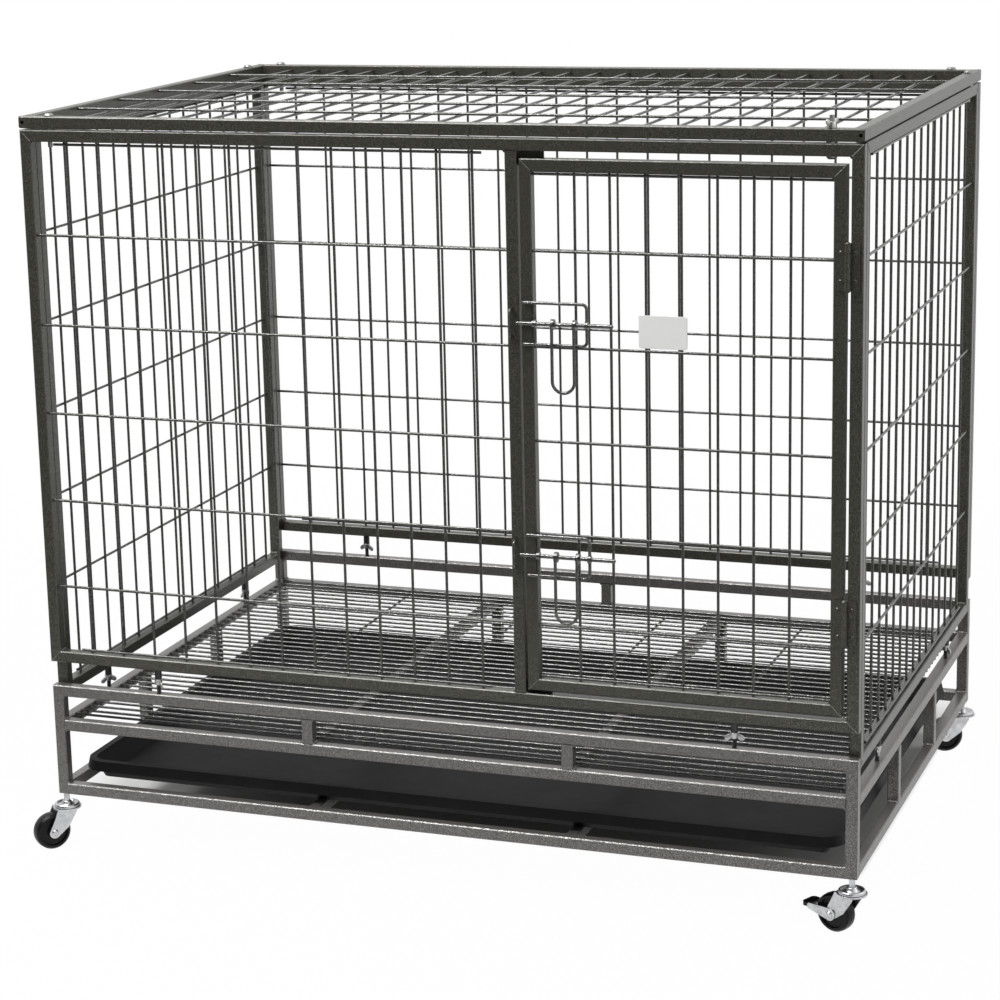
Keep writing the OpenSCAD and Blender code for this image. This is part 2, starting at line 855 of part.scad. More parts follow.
// Stamped fork: a round top and two tapered legs
module fork() {
    top = fork_top_z + fork_t;
    skirt_z = fork_top_z - 4;
    back_x = fork_half - fork_top_r;
    foot_z = wheel_r - fork_foot_r;
    foot_half = 1.5 * fork_foot_r;
    color(zinc) difference() {
        union() {
            translate([0, 0, fork_top_z]) cylinder(r = fork_top_r, h = fork_t);
            for (side = [-1, 1])
                translate([0, side * (fork_half + fork_t / 2) + fork_t / 2, 0])
                    rotate([90, 0, 0]) linear_extrude(fork_t) intersection() {
                        polygon([
                            [back_x, top], [fork_top_r - fork_t, top], [trail + foot_half, foot_z],
                            [trail - foot_half, foot_z], [back_x, skirt_z]
                        ]);
                        taper([0, fork_top_z], fork_top_r - fork_t, [trail, wheel_r], fork_foot_r);
                    }
        }
        translate([0, 0, fork_top_z - cut]) cylinder(r = stem_r + run_gap, h = fork_t + 2 * cut);
        translate([trail, 0, wheel_r]) rotate([90, 0, 0])
            cylinder(r = axle_r + run_gap / 2, h = 2 * (fork_half + fork_t + cut), center = true);
    }
}

// Axle riveted over at both ends, long enough for the brake's cheeks where there is one
module axle(braked) {
    reach = fork_half + fork_t + (braked ? brake_t + 2 * seat_gap : seat_gap);
    head_h = 1.8;
    head_r = axle_r + 1.6;
    color(zinc) translate([trail, 0, wheel_r]) rotate([90, 0, 0]) {
        cylinder(r = axle_r, h = 2 * reach, center = true);
        for (side = [0, 1])
            mirror([0, 0, side]) translate([0, 0, reach]) cylinder(r1 = head_r, r2 = axle_r, h = head_h);
    }
}

// Moulded wheel with a rounded tread, dished sides and a hub
module wheel() {
    half = wheel_w / 2;
    bore = axle_r + run_gap;
    hub_r = axle_r + 5;
    hub_half = half + 1;
    rim_r = wheel_r - 6;
    dish = half - 2.5;
    shoulder = 3;
    crown_r = wheel_r - 0.6;
    face = [
        [bore, hub_half], [hub_r, hub_half], [hub_r + 1, dish], [rim_r - 1, dish],
        [rim_r, half], [wheel_r - shoulder, half], [crown_r, half - shoulder]
    ];
    other_face = [for (k = [len(face) - 1 : -1 : 0]) [face[k].x, -face[k].y]];
    color(black) translate([trail, 0, wheel_r]) rotate([90, 0, 0])
        rotate_extrude($fn = 72) polygon(concat(face, [[wheel_r, 0]], other_face));
}

// Brake lever: two cheeks that turn on the axle, joined by a bridge behind the wheel
brake_reach = wheel_r + 5;
brake_rise = 3;
bridge_x = brake_reach - 1;
module brake() {
    cheek_y = fork_half + fork_t + seat_gap;
    cheek_r = 4;
    bridge_w = 2 * (cheek_y + brake_t / 2);
    bridge_h = 6;
    color(zinc) translate([trail, 0, wheel_r]) {
        for (side = [-1, 1])
            translate([0, side * (cheek_y + brake_t / 2) + brake_t / 2, 0])
                rotate([90, 0, 0]) linear_extrude(brake_t) difference() {
                    taper([0, 0], fork_foot_r, [brake_reach, brake_rise], cheek_r);
                    circle(axle_r + run_gap);
                }
        translate([bridge_x, -bridge_w / 2, brake_rise - bridge_h / 2]) cube([brake_t, bridge_w, bridge_h]);
    }
}

// Plastic pedal clipped over the bridge of the brake
module pedal() {
    pedal_l = 14;
    pedal_w = 24;
    pedal_t = 5;
    color(black) translate([trail + bridge_x + brake_t, 0, wheel_r + brake_rise - pedal_t / 2])
        linear_extrude(pedal_t) {
            translate([0, -pedal_w / 2]) square([pedal_l - pedal_t, pedal_w]);
            translate([pedal_l - pedal_t, pedal_t - pedal_w / 2]) square([pedal_t, pedal_w - 2 * pedal_t]);
            for (side = [-1, 1])
                translate([pedal_l - pedal_t, side * (pedal_w / 2 - pedal_t)]) circle(pedal_t);
        }
}

module front_left_fork() { caster_at(-1, -1, front_left_turn) fork(); }
module front_left_axle() { caster_at(-1, -1, front_left_turn) axle(false); }
module front_left_wheel() { caster_at(-1, -1, front_left_turn) wheel(); }
module front_right_fork() { caster_at(1, -1, front_right_turn) fork(); }
module front_right_axle() { caster_at(1, -1, front_right_turn) axle(true); }
module front_right_wheel() { caster_at(1, -1, front_right_turn) wheel(); }
module front_right_brake() { caster_at(1, -1, front_right_turn) brake(); }
module front_right_pedal() { caster_at(1, -1, front_right_turn) pedal(); }
module back_left_fork() { caster_at(-1, 1, back_left_turn) fork(); }
module back_left_axle() { caster_at(-1, 1, back_left_turn) axle(true); }
module back_left_wheel() { caster_at(-1, 1, back_left_turn) wheel(); }
module back_left_brake() { caster_at(-1, 1, back_left_turn) brake(); }
module back_left_pedal() { caster_at(-1, 1, back_left_turn) pedal(); }
module back_right_fork() { caster_at(1, 1, back_right_turn) fork(); }
module back_right_axle() { caster_at(1, 1, back_right_turn) axle(false); }
module back_right_wheel() { caster_at(1, 1, back_right_turn) wheel(); }

base_front_frame();
base_back_frame();
base_left_rails();
base_right_rails();
base_cross_bars();
floor_grate();
tray();
front_frame();
front_mesh();
back_frame();
back_mesh();
left_frame();
left_mesh();
right_frame();
right_mesh();
lid_frame();
lid_mesh();
door_frame();
door_mesh();
door_stops();
post_hinge_leaves();
door_hinge_leaves();
hinge_pins();
upper_bracket();
upper_bolt();
upper_handle();
lower_bracket();
lower_bolt();
lower_handle();
bolt_keepers();
wall_studs();
wall_spacers();
wall_wing_nuts();
lid_bolts();
lid_washers();
lid_wing_nut();
caster_stems();
stem_sockets();
front_left_fork();
front_left_axle();
front_left_wheel();
front_right_fork();
front_right_axle();
front_right_wheel();
front_right_brake();
front_right_pedal();
back_left_fork();
back_left_axle();
back_left_wheel();
back_left_brake();
back_left_pedal();
back_right_fork();
back_right_axle();
back_right_wheel();
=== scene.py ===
import math

import bpy
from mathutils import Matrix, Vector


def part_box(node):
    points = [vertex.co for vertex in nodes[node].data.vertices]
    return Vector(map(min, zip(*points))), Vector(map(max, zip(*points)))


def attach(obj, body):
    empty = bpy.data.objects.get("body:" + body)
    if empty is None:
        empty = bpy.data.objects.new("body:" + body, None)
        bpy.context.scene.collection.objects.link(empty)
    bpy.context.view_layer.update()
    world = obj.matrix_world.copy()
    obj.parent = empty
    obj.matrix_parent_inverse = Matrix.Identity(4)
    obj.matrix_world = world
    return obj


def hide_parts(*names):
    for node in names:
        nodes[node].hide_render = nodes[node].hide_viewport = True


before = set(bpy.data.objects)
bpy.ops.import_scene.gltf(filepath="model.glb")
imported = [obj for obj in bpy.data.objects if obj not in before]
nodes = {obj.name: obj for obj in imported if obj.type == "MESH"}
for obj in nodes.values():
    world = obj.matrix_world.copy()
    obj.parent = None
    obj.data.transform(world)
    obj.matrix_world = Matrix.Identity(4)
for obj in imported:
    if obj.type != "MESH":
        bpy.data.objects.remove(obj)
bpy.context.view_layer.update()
bpy.ops.object.select_all(action="DESELECT")


# Square tube
# The base, the walls, the lid and the door are welded from 15 mm square steel tube and stove
# enamelled. The paint dries into shallow hammered dimples with silver flecks; the dimples are coarser
# on the base, and its paint is made paler there than on the panels: painted light, for the floor's
# light that the lower rails mirror.


def add_node(tree, kind, **sockets):
    """A new shader node with plain values on the sockets that are named."""
    new = tree.nodes.new(kind)
    for name, value in sockets.items():
        new.inputs[name.replace("_", " ")].default_value = value
    return new


def feed(tree, value, socket):
    """Puts a number on a socket, or links another node's output to it."""
    if isinstance(value, (int, float)):
        socket.default_value = value
    else:
        tree.links.new(value, socket)


def add_math(tree, operation, first, second):
    """A Math node on two values, each of them a number or another node's output."""
    new = tree.nodes.new("ShaderNodeMath")
    new.operation = operation
    feed(tree, first, new.inputs[0])
    feed(tree, second, new.inputs[1])
    return new.outputs["Value"]


def add_ramp(tree, value, first_stop, last_stop):
    """A grey ramp on a value, between two stops of (position, level)."""
    new = tree.nodes.new("ShaderNodeValToRGB")
    for element, (position, level) in zip(new.color_ramp.elements, (first_stop, last_stop)):
        element.position = position
        element.color = (level, level, level, 1)
    tree.links.new(value, new.inputs["Fac"])
    return new.outputs["Color"]


def add_mix(tree, mask, first, second):
    """A colour mix by a mask; the colours are tuples or other nodes' outputs."""
    new = tree.nodes.new("ShaderNodeMix")
    new.data_type = "RGBA"
    tree.links.new(mask, new.inputs["Factor"])
    for socket, value in ((new.inputs[6], first), (new.inputs[7], second)):
        if isinstance(value, tuple):
            socket.default_value = (*value, 1)
        else:
            tree.links.new(value, socket)
    return new.outputs[2]


def add_noise(tree, place, feature_size, detail, roughness):
    """The outputs of a noise texture, with the size of its features in metres."""
    new = add_node(tree, "ShaderNodeTexNoise", Detail=detail, Roughness=roughness)
    tree.links.new(place, new.inputs["Vector"])
    tree.links.new(add_math(tree, "DIVIDE", 1.0, feature_size), new.inputs["Scale"])
    return new.outputs


def new_group(name, inputs, outputs):
    """An empty shader group with float inputs and outputs, their sockets, and the object's own place."""
    group = bpy.data.node_groups.new(name, "ShaderNodeTree")
    for socket in inputs:
        group.interface.new_socket(socket, in_out="INPUT", socket_type="NodeSocketFloat")
    for socket in outputs:
        group.interface.new_socket(socket, in_out="OUTPUT", socket_type="NodeSocketFloat")
    entry = group.nodes.new("NodeGroupInput").outputs
    leave = group.nodes.new("NodeGroupOutput").inputs
    return group, entry, leave, group.nodes.new("ShaderNodeTexCoord").outputs["Object"]


def place_group(tree, group, **values):
    """The outputs of a group that is placed in a material with its own values."""
    new = tree.nodes.new("ShaderNodeGroup")
    new.node_tree = group
    for name, value in values.items():
        new.inputs[name.replace("_", " ")].default_value = value
    return new.outputs


def build_hammered_skin():
    """Masks of the dimples (Pool, from 0 in a hollow to 1 on a ridge) and of the metal flecks."""
    ripples_per_cell = 0.7
    specks_per_cell = 2.2
    group, entry, leave, place = new_group("hammered_skin", ["Cell Size", "Fleck Share"], ["Pool", "Fleck"])
    ripple_size = add_math(group, "DIVIDE", entry["Cell Size"], ripples_per_cell)
    ripple = add_noise(group, place, ripple_size, detail=2.0, roughness=0.5)
    shove = group.nodes.new("ShaderNodeVectorMath")
    shove.operation = "SCALE"
    group.links.new(ripple["Color"], shove.inputs[0])
    group.links.new(entry["Cell Size"], shove.inputs["Scale"])
    bent = group.nodes.new("ShaderNodeVectorMath")
    group.links.new(place, bent.inputs[0])
    group.links.new(shove.outputs["Vector"], bent.inputs[1])
    cells = add_node(group, "ShaderNodeTexVoronoi")
    cells.feature = "SMOOTH_F1"
    cells.inputs["Smoothness"].default_value = 0.6
    group.links.new(bent.outputs["Vector"], cells.inputs["Vector"])
    group.links.new(add_math(group, "DIVIDE", 1.0, entry["Cell Size"]), cells.inputs["Scale"])
    group.links.new(add_ramp(group, cells.outputs["Distance"], (0.12, 0.0), (0.62, 1.0)), leave["Pool"])
    speck_size = add_math(group, "DIVIDE", entry["Cell Size"], specks_per_cell)
    specks = add_noise(group, place, speck_size, detail=1.0, roughness=0.6)
    over = add_math(group, "ADD", specks["Fac"], entry["Fleck Share"])
    group.links.new(add_ramp(group, over, (0.72, 0.0), (0.84, 1.0)), leave["Fleck"])
    return group


hammered_skin = build_hammered_skin()


def new_material(name):
    """A material with only a Principled shader, and its tree and shader."""
    material = bpy.data.materials.new(name)
    material.use_nodes = True
    return material, material.node_tree, material.node_tree.nodes["Principled BSDF"]


def add_bump(tree, shader, height, strength, distance):
    """Feeds the shader's normal from a height, with the bump's depth in metres."""
    bump = add_node(tree, "ShaderNodeBump", Strength=strength, Distance=distance)
    tree.links.new(height, bump.inputs["Height"])
    tree.links.new(bump.outputs["Normal"], shader.inputs["Normal"])


def hammered_paint(name, cell_size, depth, hollow_tone, ridge_tone, fleck_tone, fleck_share, roughness):
    """Dark enamel with tones for its hollows and ridges, and bare metal flecks in it."""
    material, tree, shader = new_material(name)
    skin = place_group(tree, hammered_skin, Cell_Size=cell_size, Fleck_Share=fleck_share)
    ground = add_mix(tree, skin["Pool"], hollow_tone, ridge_tone)
    tree.links.new(add_mix(tree, skin["Fleck"], ground, fleck_tone), shader.inputs["Base Color"])
    tree.links.new(skin["Fleck"], shader.inputs["Metallic"])
    spread = 0.06
    gloss = add_ramp(tree, skin["Pool"], (0.0, roughness - spread), (1.0, roughness + spread))
    tree.links.new(gloss, shader.inputs["Roughness"])
    add_bump(tree, shader, skin["Pool"], strength=0.6, distance=depth)
    return material


def wear(names, material):
    """Gives each named CAD node this material."""
    for name in names:
        nodes[name].data.materials.clear()
        nodes[name].data.materials.append(material)


# Paler tones than the panel enamel: painted light, standing in for the floor's light mirrored by the base
# rails.
base_enamel_painted_paler = hammered_paint(
    "base_enamel_painted_paler", cell_size=0.0020, depth=0.00014, fleck_share=0.22, roughness=0.33,
    hollow_tone=(0.050, 0.048, 0.044), ridge_tone=(0.095, 0.092, 0.086), fleck_tone=(0.33, 0.318, 0.303))
wear(["base_front_frame", "base_back_frame", "base_left_rails", "base_right_rails", "base_cross_bars"],
     base_enamel_painted_paler)
panel_enamel = hammered_paint(
    "panel_enamel", cell_size=0.0014, depth=0.00010, fleck_share=0.165, roughness=0.31,
    hollow_tone=(0.017, 0.0165, 0.012), ridge_tone=(0.032, 0.031, 0.023), fleck_tone=(0.31, 0.304, 0.262))
wear(["front_frame", "back_frame", "left_frame", "right_frame", "lid_frame", "door_frame", "door_stops",
      "post_hinge_leaves", "door_hinge_leaves", "hinge_pins"], panel_enamel)


# Weld beads
# The tubes are fixed to each other by a run of weld in every inner corner, left as it cooled with its
# row of ripples, and a finer run along each mitre on the outside. They are painted with the frame.
tube = 0.015


def settle():
    """Moves the active object's place, turn and scale into its mesh."""
    bpy.ops.object.transform_apply(location=True, rotation=True, scale=True)


def pick_face(piece, rank):
    """Selects only the face of a piece that ranks lowest, and leaves the piece in edit mode."""
    bpy.ops.object.mode_set(mode="EDIT")
    bpy.ops.mesh.select_mode(type="FACE")
    bpy.ops.mesh.select_all(action="DESELECT")
    bpy.ops.object.mode_set(mode="OBJECT")
    min(piece.data.polygons, key=rank).select = True
    bpy.ops.object.mode_set(mode="EDIT")


def new_bead(length, radius, ripples):
    """One bead along Y at the origin, with a ripple at every other ring."""
    sides = 10
    swell = 1.18
    rings = 2 * ripples
    step = length / rings
    bpy.ops.object.select_all(action="DESELECT")
    bpy.ops.mesh.primitive_cylinder_add(vertices=sides, radius=radius, depth=step, end_fill_type="NGON",
                                        rotation=(math.radians(90), 0, 0))
    bead = bpy.context.object
    settle()
    for ring in range(1, rings):
        pick_face(bead, lambda face: (len(face.vertices) < sides, face.center.y))
        bpy.ops.mesh.extrude_region_move(TRANSFORM_OT_translate={"value": (0, -step, 0)})
        change = swell if ring % 2 == 1 else 1 / swell
        bpy.ops.transform.resize(value=(change, 1, change))
    bpy.ops.mesh.select_all(action="SELECT")
    bpy.ops.transform.translate(value=(0, (length - step) / 2, 0))
    bpy.ops.object.mode_set(mode="OBJECT")
    bpy.ops.object.shade_smooth_by_angle(angle=math.radians(60))
    return bead


def corner_bead():
    """The bead for an inner corner, a little shorter than the tube is wide."""
    return new_bead(length=0.0125, radius=0.0021, ripples=7)


def seam_bead():
    """The finer bead for a mitre, a little shorter than the cut."""
    return new_bead(length=0.019, radius=0.0008, ripples=12)


def join_parts(parts):
    """Joins parts into the first of them, which stays selected."""
    bpy.ops.object.select_all(action="DESELECT")
    for part in parts:
        part.select_set(True)
    bpy.context.view_layer.objects.active = parts[0]
    bpy.ops.object.join()
    return parts[0]


def lay_copies(model, name, places):
    """Copies of a model at (place, turn in degrees), joined into one piece with its place in its mesh."""
    copies = []
    for place, turn in places:
        copy = model.copy()
        copy.data = model.data.copy()
        bpy.context.collection.objects.link(copy)
        copy.location = place
        copy.rotation_euler = [math.radians(angle) for angle in turn]
        copies.append(copy)
    bpy.data.objects.remove(model)
    piece = join_parts(copies)
    settle()
    piece.name = name
    return piece


def lay_beads(name, bead, body, enamel, places):
    """Copies of a bead at (place, turn in degrees) in one paint, riding on a body."""
    beads = lay_copies(bead, name, places)
    beads.data.materials.append(enamel)
    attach(beads, body)


along = {"x": (0, 0, 90), "y": (0, 0, 0), "z": (90, 0, 0)}


def ring_corners(node, flat):
    """The four inner corners of a tube ring, halfway through it along its flat axis."""
    low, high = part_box(node)
    a, b = [axis for axis in range(3) if axis != "xyz".index(flat)]
    for first in (low[a] + tube, high[a] - tube):
        for second in (low[b] + tube, high[b] - tube):
            place = [(low[axis] + high[axis]) / 2 for axis in range(3)]
            place[a], place[b] = first, second
            yield place, along[flat]


def ring_mitres(node, flat, outside):
    """The four mitres of a tube ring on its low (0) or high (1) side along its flat axis."""
    sunk = 0.0004
    low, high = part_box(node)
    a, b = [axis for axis in range(3) if axis != "xyz".index(flat)]
    for first, first_lean in ((low[a] + tube / 2, 1), (high[a] - tube / 2, -1)):
        for second, second_lean in ((low[b] + tube / 2, 1), (high[b] - tube / 2, -1)):
            lean = 45 * first_lean * second_lean
            place = [high[axis] - sunk if outside else low[axis] + sunk for axis in range(3)]
            place[a], place[b] = first, second
            yield place, {"x": (lean, 0, 0), "y": (90, lean, 0), "z": (0, 0, -lean)}[flat]


panel_welds = []
panel_seams = []
for ring, flat, outside in (("back_frame", "y", 1), ("left_frame", "x", 0), ("right_frame", "x", 1),
                            ("lid_frame", "z", 1), ("front_frame", "y", 0)):
    panel_welds += ring_corners(ring, flat)
    panel_seams += ring_mitres(ring, flat, outside)
low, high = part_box("front_frame")
door_gap = 0.003
post_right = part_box("door_frame")[0].x - door_gap
for x in (post_right - tube, post_right):
    for z in (low.z + tube, high.z - tube):
        panel_welds.append(((x, low.y + tube / 2, z), along["y"]))
lay_beads("panel_welds", corner_bead(), "crate", panel_enamel, panel_welds)
lay_beads("door_welds", corner_bead(), "door", panel_enamel, ring_corners("door_frame", "y"))
seam_enamel = hammered_paint(
    "seam_enamel", cell_size=0.0019, depth=0.0001, fleck_share=0.24, roughness=0.32,
    hollow_tone=(0.020, 0.0195, 0.017), ridge_tone=(0.040, 0.039, 0.035), fleck_tone=(0.40, 0.395, 0.37))
lay_beads("panel_seams", seam_bead(), "crate", seam_enamel, panel_seams)
lay_beads("door_seams", seam_bead(), "door", seam_enamel, ring_mitres("door_frame", "y", 0))

# In the base, the middle rails butt against the corner posts. The short uprights stand between the
# rails and part them into thirds, or into halves.
base_welds = []
middle_foot, middle_top = 0.165, 0.180
low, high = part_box("base_front_frame")
third_x = (high.x - low.x - 2 * tube) / 6
over_middle = (middle_top, high.z - tube)
under_middle = (low.z + tube, middle_foot)
front_uprights = {-third_x: over_middle, third_x: over_middle}
back_uprights = {0: over_middle, -third_x: under_middle, third_x: under_middle}
for ring, uprights in (("base_front_frame", front_uprights), ("base_back_frame", back_uprights)):
    base_welds += ring_corners(ring, "y")
    low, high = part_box(ring)
    centre_y = (low.y + high.y) / 2
    for z in (middle_foot, middle_top):
        for x in (low.x + tube, high.x - tube):
            base_welds.append(((x, centre_y, z), along["y"]))
    for upright_x, ends in uprights.items():
        for z in ends:
            for x in (upright_x - tube / 2, upright_x + tube / 2):
                base_welds.append(((x, centre_y, z), along["y"]))
for rails in ("base_left_rails", "base_right_rails"):
    low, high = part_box(rails)
    centre_x = (low.x + high.x) / 2
    third_y = (high.y - low.y) / 6
    for y in (low.y, high.y):
        for z in (low.z + tube, middle_foot, middle_top):
            base_welds.append(((centre_x, y, z), along["x"]))
    for upright_y in (-third_y, third_y):
        for z in under_middle:
            for y in (upright_y - tube / 2, upright_y + tube / 2):
                base_welds.append(((centre_x, y, z), along["x"]))
lay_beads("base_welds", corner_bead(), "crate", base_enamel_painted_paler, base_welds)


# Wire mesh, latches and floor grate
# The panels and the floor are filled with 3.5 mm steel wire, spot-welded where it crosses and painted
# in the same bath; the latches are bent from such wire. The dimples are finer on it and the paint
# shines more, most of all on the floor and the latches, where it is worn smooth.
wire_enamel = hammered_paint(
    "wire_enamel", cell_size=0.0010, depth=0.00003, fleck_share=0.155, roughness=0.23,
    hollow_tone=(0.010, 0.0098, 0.0082), ridge_tone=(0.018, 0.0176, 0.0152), fleck_tone=(0.52, 0.515, 0.48))
wear(["front_mesh", "back_mesh", "left_mesh", "right_mesh", "lid_mesh", "door_mesh", "bolt_keepers"],
     wire_enamel)
worn_enamel = hammered_paint(
    "worn_enamel", cell_size=0.0008, depth=0.00002, fleck_share=0.17, roughness=0.22,
    hollow_tone=(0.004, 0.0039, 0.0035), ridge_tone=(0.009, 0.0088, 0.0078), fleck_tone=(0.75, 0.745, 0.72))
wear(["floor_grate", "upper_bracket", "lower_bracket", "upper_bolt", "lower_bolt", "upper_handle",
      "lower_handle"], worn_enamel)


# Tray
# One sheet of black plastic, vacuum-formed over a mould, that slides in under the floor on
# the base rails. It has a fine grain and the pale scuffs of things dragged over it.
def build_moulded_grain():
    """A mould's fine grain, and a broad cloud for scuffs."""
    cloud_size = 1 / 9
    group, entry, leave, place = new_group("moulded_grain", ["Grain Size"], ["Grain", "Cloud"])
    grain = add_noise(group, place, entry["Grain Size"], detail=3.0, roughness=0.6)
    group.links.new(grain["Fac"], leave["Grain"])
    cloud = add_noise(group, place, cloud_size, detail=6.0, roughness=0.7)
    group.links.new(cloud["Fac"], leave["Cloud"])
    return group


moulded_grain = build_moulded_grain()


def moulded_plastic(name, grain_size, tone, scuff_tone, scuff_amount, roughness):
    """Grained plastic with soft scuffs."""
    material, tree, shader = new_material(name)
    skin = place_group(tree, moulded_grain, Grain_Size=grain_size)
    scuff = add_ramp(tree, skin["Cloud"], (0.45, 0.0), (0.8, scuff_amount))
    tree.links.new(add_mix(tree, scuff, tone, scuff_tone), shader.inputs["Base Color"])
    gloss = add_ramp(tree, skin["Cloud"], (0.3, roughness - 0.06), (0.7, roughness + 0.08))
    tree.links.new(gloss, shader.inputs["Roughness"])
    shader.inputs["Specular IOR Level"].default_value = 0.2
    add_bump(tree, shader, skin["Grain"], strength=0.25, distance=grain_size / 8)
    return material


tray_plastic = moulded_plastic("tray_plastic", grain_size=0.0012, tone=(0.004, 0.004, 0.0044),
                               scuff_tone=(0.016, 0.016, 0.016), scuff_amount=0.6, roughness=0.56)
wear(["tray"], tray_plastic)


# Blank plate
# A thin plate of white plastic in the door's mesh, left bare. Two spring clips moulded on its back
# snap round neighbouring upright wires.
plate_x, plate_z = 0.304, 0.740
plate_width = 0.060
plate_height = 0.040
plate_thick = 0.0012
plate_corner = 0.003
plate_edge = 0.0003
wire_radius = 0.00175
wire_y = -0.36425
clip_wires = (0.2825, 0.3265)
clip_wall = 0.001
clip_height = 0.010
clip_play = 0.0001
clip_open = 50
clip_steps = 18
clip_middle = wire_radius + clip_play + clip_wall / 2
plate_back = wire_y - clip_middle
plate_front = plate_back - plate_thick
hair_breadth = 1e-6


def round_edges(piece, wanted, radius, segments):
    """Bevels the edges of a piece whose two ends pass a test."""
    bpy.ops.object.mode_set(mode="EDIT")
    bpy.ops.mesh.select_mode(type="EDGE")
    bpy.ops.mesh.select_all(action="DESELECT")
    bpy.ops.object.mode_set(mode="OBJECT")
    for edge in piece.data.edges:
        edge.select = wanted(*[piece.data.vertices[end].co for end in edge.vertices])
    bpy.ops.object.mode_set(mode="EDIT")
    bpy.ops.mesh.bevel(offset=radius, segments=segments, affect="EDGES")
    bpy.ops.object.mode_set(mode="OBJECT")


bpy.ops.object.select_all(action="DESELECT")
bpy.ops.mesh.primitive_cube_add(size=1, location=(plate_x, plate_back - plate_thick / 2, plate_z))
plate = bpy.context.object
plate.name = "blank_plate"
plate.scale = (plate_width, plate_thick, plate_height)
settle()
round_edges(plate, lambda one, other: abs(one.y - other.y) > plate_thick / 2, plate_corner, 6)
round_edges(plate, lambda one, other: max(one.y, other.y) < plate_front + hair_breadth, plate_edge, 2)
clips = []
for wire_x in clip_wires:
    start = math.radians(90 - clip_open)
    clip_end = (wire_x + clip_middle * math.cos(start), wire_y + clip_middle * math.sin(start), plate_z)
    bpy.ops.object.select_all(action="DESELECT")
    bpy.ops.mesh.primitive_plane_add(size=1, rotation=(math.radians(90), 0, start), location=clip_end)
    clip = bpy.context.object
    clip.scale = (clip_wall, clip_height, 1)
    settle()
    bpy.ops.object.mode_set(mode="EDIT")
    bpy.ops.mesh.select_all(action="SELECT")
    bpy.ops.mesh.spin(steps=clip_steps, angle=math.radians(360 - 2 * clip_open),
                      center=(wire_x, wire_y, plate_z), axis=(0, 0, 1))
    bpy.ops.mesh.select_all(action="SELECT")
    bpy.ops.mesh.normals_make_consistent(inside=False)
    bpy.ops.object.mode_set(mode="OBJECT")
    clips.append(clip)
join_parts([plate, *clips])
bpy.ops.object.shade_smooth_by_angle(angle=math.radians(20))
white_plastic = moulded_plastic("white_plastic", grain_size=0.0009, tone=(0.80, 0.80, 0.785),
                                scuff_tone=(0.70, 0.695, 0.67), scuff_amount=0.5, roughness=0.60)
plate.data.materials.append(white_plastic)
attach(plate, "door")


# Zinc fittings
# The forks, axles and brake levers of the casters and the sockets for their stems are pressed or turned
# steel, bright zinc-plated: a cool silver skin with a faint cloudy spangle. The bolts and washers on
# the lid have gone dull.
def build_plated_skin():
    """Cloudy patches and a fine grain on plated metal."""
    group, entry, leave, place = new_group("plated_skin", ["Patch Size", "Grain Size"], ["Cloud", "Grain"])
    cloud = add_noise(group, place, entry["Patch Size"], detail=4.0, roughness=0.6)
    group.links.new(cloud["Fac"], leave["Cloud"])
    grain = add_noise(group, place, entry["Grain Size"], detail=2.0, roughness=0.5)
    group.links.new(grain["Fac"], leave["Grain"])
    return group


plated_skin = build_plated_skin()


def zinc_plate(name, tone, roughness):
    """Plating with cloudy patches and a fine grain."""
    material, tree, shader = new_material(name)
    skin = place_group(tree, plated_skin, Patch_Size=1 / 120, Grain_Size=1 / 1500)
    patches = add_ramp(tree, skin["Cloud"], (0.3, 0.0), (0.7, 1.0))
    dulled = 0.72
    dull_tone = tuple(dulled * channel for channel in tone)
    tree.links.new(add_mix(tree, patches, dull_tone, tone), shader.inputs["Base Color"])
    gloss = add_ramp(tree, skin["Cloud"], (0.3, roughness + 0.1), (0.7, roughness - 0.06))
    tree.links.new(gloss, shader.inputs["Roughness"])
    shader.inputs["Metallic"].default_value = 1.0
    add_bump(tree, shader, skin["Grain"], strength=0.15, distance=0.0001)
    return material


bright_zinc = zinc_plate("zinc_plate", tone=(0.66, 0.665, 0.68), roughness=0.3)
corners = ("front_left", "front_right", "back_left", "back_right")
wear(["stem_sockets", "front_right_brake", "back_left_brake"], bright_zinc)
wear([corner + part for corner in corners for part in ("_fork", "_axle")], bright_zinc)
dull_zinc = zinc_plate("dull_zinc", tone=(0.36, 0.36, 0.355), roughness=0.40)
wear(["lid_bolts", "lid_washers"], dull_zinc)


# Wall studs
# Each wall panel is held on the base by two lengths of M6 screwed rod that stand up out of the rail,
# blackened like the sleeves on them. The thread shows between the wing nut and the base.
stud_radius = 0.003
stud_length = 0.048
stud_end_chamfer = 0.0004
thread_pitch = 0.001
ridge_radius = 0.0005
core_radius = stud_radius - ridge_radius
front_stud_x = 0.391
side_stud_y = 0.2272
bpy.ops.object.select_all(action="DESELECT")
bpy.ops.mesh.primitive_circle_add(
    vertices=3, radius=ridge_radius, fill_type="NOTHING", rotation=(math.radians(90), math.radians(90), 0),
    location=(core_radius, 0, thread_pitch - stud_length / 2))
thread = bpy.context.object
settle()
wind = thread.modifiers.new("wind", "SCREW")
wind.screw_offset = thread_pitch
wind.iterations = round(stud_length / thread_pitch) - 2
wind.steps = wind.render_steps = 14
bpy.ops.object.modifier_apply(modifier="wind")
bpy.ops.object.mode_set(mode="EDIT")
bpy.ops.mesh.select_all(action="SELECT")
bpy.ops.mesh.fill_holes(sides=4)
bpy.ops.mesh.select_all(action="SELECT")
bpy.ops.mesh.normals_make_consistent(inside=False)
bpy.ops.object.mode_set(mode="OBJECT")
bpy.ops.object.select_all(action="DESELECT")
bpy.ops.mesh.primitive_cylinder_add(vertices=24, radius=core_radius, depth=stud_length)
rod = bpy.context.object
round_edges(rod, lambda one, other: abs(one.z - other.z) < hair_breadth, stud_end_chamfer, 1)
join_parts([rod, thread])
low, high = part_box("wall_studs")
stud_tops = []
for x in (-front_stud_x, front_stud_x):
    for y in (low.y + stud_radius, high.y - stud_radius):
        stud_tops.append((x, y, high.z))
